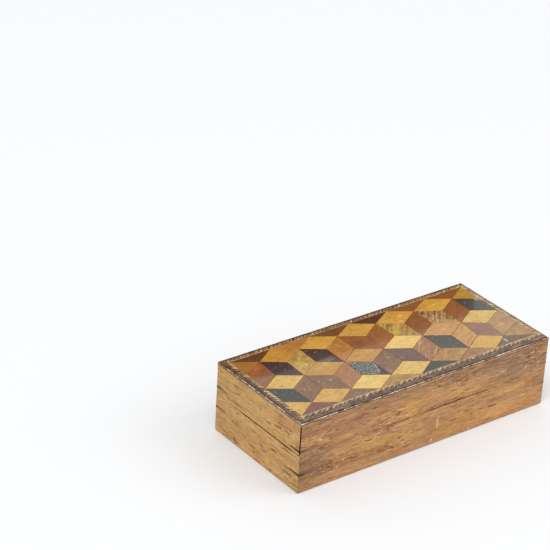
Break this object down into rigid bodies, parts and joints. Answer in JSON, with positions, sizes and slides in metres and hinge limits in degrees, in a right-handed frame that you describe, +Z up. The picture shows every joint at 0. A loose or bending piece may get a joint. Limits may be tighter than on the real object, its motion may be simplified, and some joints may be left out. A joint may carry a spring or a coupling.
{
  "type": "wooden puzzle box",
  "caption": "Small trick box with a tumbling-block parquetry lid that slides out endwise with half of one end, held by hidden drop pins.",
  "frame": {"origin": "middle of the underside, on the surface that the box stands on", "axes": "+Z up; +X along the length, towards the end that doesn't split; the lid leaves towards -X; -Y is the front"},
  "size_m": [0.135, 0.0586, 0.0335],
  "materials": {
    "side_wood": "figured brown hardwood, worn shellac polish, satin",
    "end_wood": "pale brown hardwood, worn polish, satin",
    "key_wood": "dark stained slip keys, matte",
    "base_wood": "plain softwood or cedar, oiled by age, matte",
    "lining_cloth": "faded dark red napped cotton",
    "ground_wood": "thin brown ground under the veneers, only its edge shows",
    "parquet_wood": "mixed pale, golden, brown, mauve and slate veneers under old gloss polish",
    "rope_wood": "rope-twist banding of pale and dark woods, gloss polish",
    "strip_wood": "dark plum-brown crossbanding, worn gloss",
    "stringing_wood": "worn pale stringing with dark breaks, satin",
    "pin_brass": "dull turned brass"
  },
  "bodies": {
    "carcass": {"front_side": "side_wood", "back_side": "side_wood", "right_end": "end_wood", "left_end_lower": "end_wood", "base_board": "base_wood", "key_front_left_lower": "key_wood", "key_back_left_lower": "key_wood", "key_front_right_lower": "key_wood", "key_back_right_lower": "key_wood", "key_front_right_upper": "key_wood", "key_back_right_upper": "key_wood", "key_stub_front_left_side": "key_wood", "key_stub_back_left_side": "key_wood", "lining_floor": "lining_cloth", "lining_front": "lining_cloth", "lining_back": "lining_cloth", "lining_right": "lining_cloth", "lining_left": "lining_cloth", "lock_ledge": "base_wood"},
    "lid": {"lid_core": "base_wood", "lid_ground": "ground_wood", "lid_cleat": "base_wood", "lid_end_block": "end_wood", "key_stub_front_left_lid": "key_wood", "key_stub_back_left_lid": "key_wood", "edge_stringing_front": "stringing_wood", "edge_stringing_back": "stringing_wood", "edge_stringing_left": "stringing_wood", "edge_stringing_right": "stringing_wood", "border_strip_front": "strip_wood", "border_strip_back": "strip_wood", "border_strip_left": "strip_wood", "border_strip_right": "strip_wood", "rope_banding_front": "rope_wood", "rope_banding_back": "rope_wood", "rope_banding_left": "rope_wood", "rope_banding_right": "rope_wood", "parquetry_field": "parquet_wood"},
    "front_pin": {"drop_pin_front": "pin_brass"},
    "back_pin": {"drop_pin_back": "pin_brass"}
  },
  "joints": [
    {"name": "lid_slide", "type": "slide", "parent": "carcass", "child": "lid", "axis": [-1, 0, 0], "range_m": [0, 0.118]},
    {"name": "front_pin_drop", "type": "slide", "parent": "lid", "child": "front_pin", "axis": [0, 0, 1], "range_m": [-0.003, 0]},
    {"name": "back_pin_drop", "type": "slide", "parent": "lid", "child": "back_pin", "axis": [0, 0, 1], "range_m": [-0.003, 0]}
  ]
}
